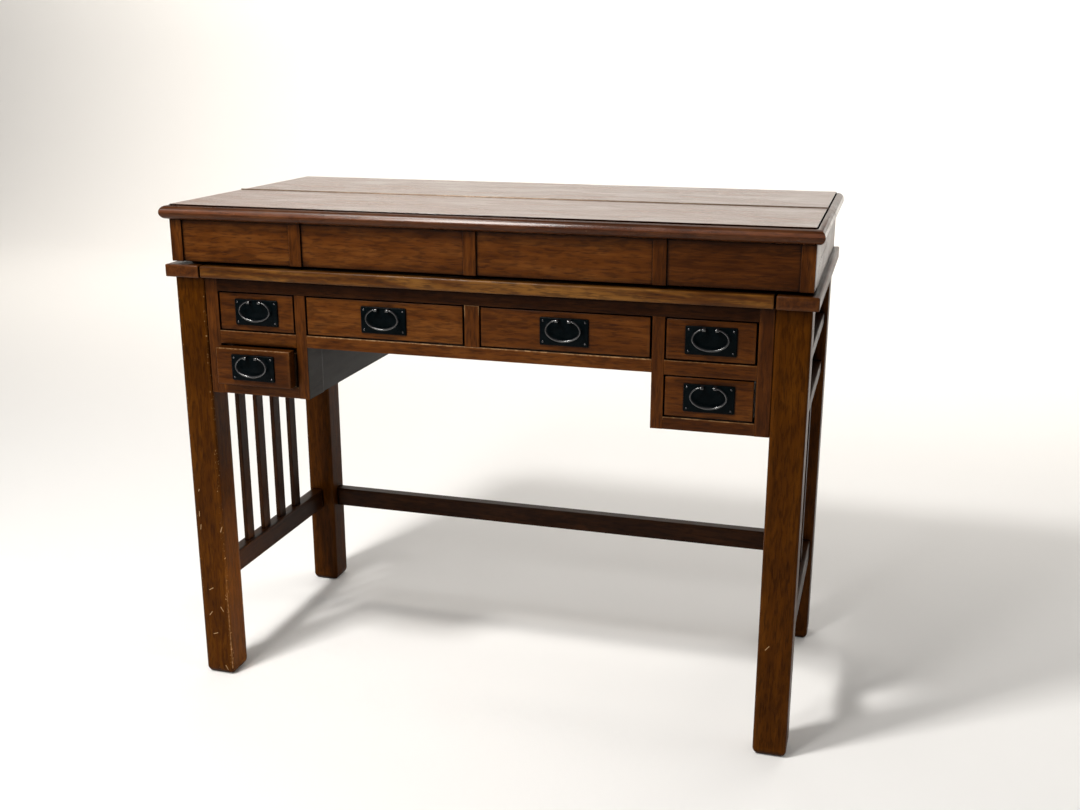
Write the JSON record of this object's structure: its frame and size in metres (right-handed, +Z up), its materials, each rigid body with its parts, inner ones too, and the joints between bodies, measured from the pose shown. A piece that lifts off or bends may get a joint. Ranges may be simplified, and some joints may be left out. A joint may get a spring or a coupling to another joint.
{
  "type": "computer desk",
  "caption": "Flip-top computer desk in stained wood: square legs, slatted sides, pull-out work surface, drawers with bail pulls and a hinged lid over a shallow box.",
  "frame": {"origin": "on the floor under the middle of the bounding box", "axes": "+X to the right along the front, +Y to the back, +Z up; the drawers open towards -Y"},
  "size_m": [1.08, 0.5378, 0.863],
  "materials": {
    "wood_legs": "satin stained",
    "wood_front": "satin stained",
    "wood_top": "satin stained",
    "wood_lipping": "satin stained",
    "wood_inner": "thin clear coat",
    "hinge_metal": "dark bronzed",
    "pull_metal": "black, satin"
  },
  "bodies": {
    "frame": {"back_panel": "wood_inner", "drawer_runners": "wood_inner", "end_piece_left": "wood_top", "end_piece_right": "wood_top", "face_bottom_rails": "wood_front", "face_centre_rail": "wood_front", "face_centre_stile": "wood_front", "face_mid_rails": "wood_front", "face_outer_stiles": "wood_front", "face_pedestal_stiles": "wood_front", "face_top_rail": "wood_front", "hinge_leaf_fixed": "hinge_metal", "hinge_pin": "hinge_metal", "leg_back_left": "wood_legs", "leg_back_right": "wood_legs", "leg_front_left": "wood_legs", "leg_front_right": "wood_legs", "pedestal_panels": "wood_front", "rear_deck": "wood_top", "rear_stretcher": "wood_legs", "side_panels": "wood_inner", "side_rails": "wood_legs", "side_slats": "wood_legs", "side_stretchers": "wood_legs", "top_rear": "wood_top", "upper_back": "wood_front", "upper_side_left": "wood_front", "upper_side_right": "wood_front"},
    "lid": {"lid_top": "wood_top", "lid_apron": "wood_front", "lid_battens": "wood_front", "lid_sides": "wood_front", "hinge_leaf_lid": "hinge_metal"},
    "work_surface": {"slide_panel": "wood_top", "slide_lipping": "wood_lipping"},
    "drawer_upper_left": {"drawer_upper_left_front": "wood_front", "drawer_upper_left_box": "wood_inner", "drawer_upper_left_plate": "pull_metal"},
    "bail_upper_left": {"bail_upper_left": "pull_metal"},
    "drawer_centre_left": {"drawer_centre_left_front": "wood_front", "drawer_centre_left_box": "wood_inner", "drawer_centre_left_plate": "pull_metal"},
    "bail_centre_left": {"bail_centre_left": "pull_metal"},
    "drawer_centre_right": {"drawer_centre_right_front": "wood_front", "drawer_centre_right_box": "wood_inner", "drawer_centre_right_plate": "pull_metal"},
    "bail_centre_right": {"bail_centre_right": "pull_metal"},
    "drawer_upper_right": {"drawer_upper_right_front": "wood_front", "drawer_upper_right_box": "wood_inner", "drawer_upper_right_plate": "pull_metal"},
    "bail_upper_right": {"bail_upper_right": "pull_metal"},
    "drawer_lower_left": {"drawer_lower_left_front": "wood_front", "drawer_lower_left_box": "wood_inner", "drawer_lower_left_plate": "pull_metal"},
    "bail_lower_left": {"bail_lower_left": "pull_metal"},
    "drawer_lower_right": {"drawer_lower_right_front": "wood_front", "drawer_lower_right_box": "wood_inner", "drawer_lower_right_plate": "pull_metal"},
    "bail_lower_right": {"bail_lower_right": "pull_metal"}
  },
  "joints": [
    {"name": "lid_hinge", "type": "hinge", "parent": "frame", "child": "lid", "pos_m": [0, -0.0001, 0.8618], "axis": [-1, 0, 0], "range_deg": [0, 180]},
    {"name": "work_surface_slide", "type": "slide", "parent": "frame", "child": "work_surface", "axis": [0, -1, 0], "range_m": [0, 0.235]},
    {"name": "drawer_upper_left_slide", "type": "slide", "parent": "frame", "child": "drawer_upper_left", "axis": [0, -1, 0], "range_m": [0, 0.3]},
    {"name": "bail_upper_left_swing", "type": "hinge", "parent": "drawer_upper_left", "child": "bail_upper_left", "pos_m": [-0.3805, -0.2426, 0.70275], "axis": [-1, 0, 0], "range_deg": [-8, 100]},
    {"name": "drawer_centre_left_slide", "type": "slide", "parent": "frame", "child": "drawer_centre_left", "axis": [0, -1, 0], "range_m": [0, 0.3]},
    {"name": "bail_centre_left_swing", "type": "hinge", "parent": "drawer_centre_left", "child": "bail_centre_left", "pos_m": [-0.1515, -0.2426, 0.70275], "axis": [-1, 0, 0], "range_deg": [-8, 100]},
    {"name": "drawer_centre_right_slide", "type": "slide", "parent": "frame", "child": "drawer_centre_right", "axis": [0, -1, 0], "range_m": [0, 0.3]},
    {"name": "bail_centre_right_swing", "type": "hinge", "parent": "drawer_centre_right", "child": "bail_centre_right", "pos_m": [0.1515, -0.2426, 0.70275], "axis": [-1, 0, 0], "range_deg": [-8, 100]},
    {"name": "drawer_upper_right_slide", "type": "slide", "parent": "frame", "child": "drawer_upper_right", "axis": [0, -1, 0], "range_m": [0, 0.3]},
    {"name": "bail_upper_right_swing", "type": "hinge", "parent": "drawer_upper_right", "child": "bail_upper_right", "pos_m": [0.3805, -0.2426, 0.70275], "axis": [-1, 0, 0], "range_deg": [-8, 100]},
    {"name": "drawer_lower_left_slide", "type": "slide", "parent": "frame", "child": "drawer_lower_left", "axis": [0, -1, 0], "range_m": [-0.0235, 0.2765]},
    {"name": "bail_lower_left_swing", "type": "hinge", "parent": "drawer_lower_left", "child": "bail_lower_left", "pos_m": [-0.3805, -0.2661, 0.61275], "axis": [-1, 0, 0], "range_deg": [-8, 100]},
    {"name": "drawer_lower_right_slide", "type": "slide", "parent": "frame", "child": "drawer_lower_right", "axis": [0, -1, 0], "range_m": [0, 0.3]},
    {"name": "bail_lower_right_swing", "type": "hinge", "parent": "drawer_lower_right", "child": "bail_lower_right", "pos_m": [0.3805, -0.2426, 0.61275], "axis": [-1, 0, 0], "range_deg": [-8, 100]}
  ]
}
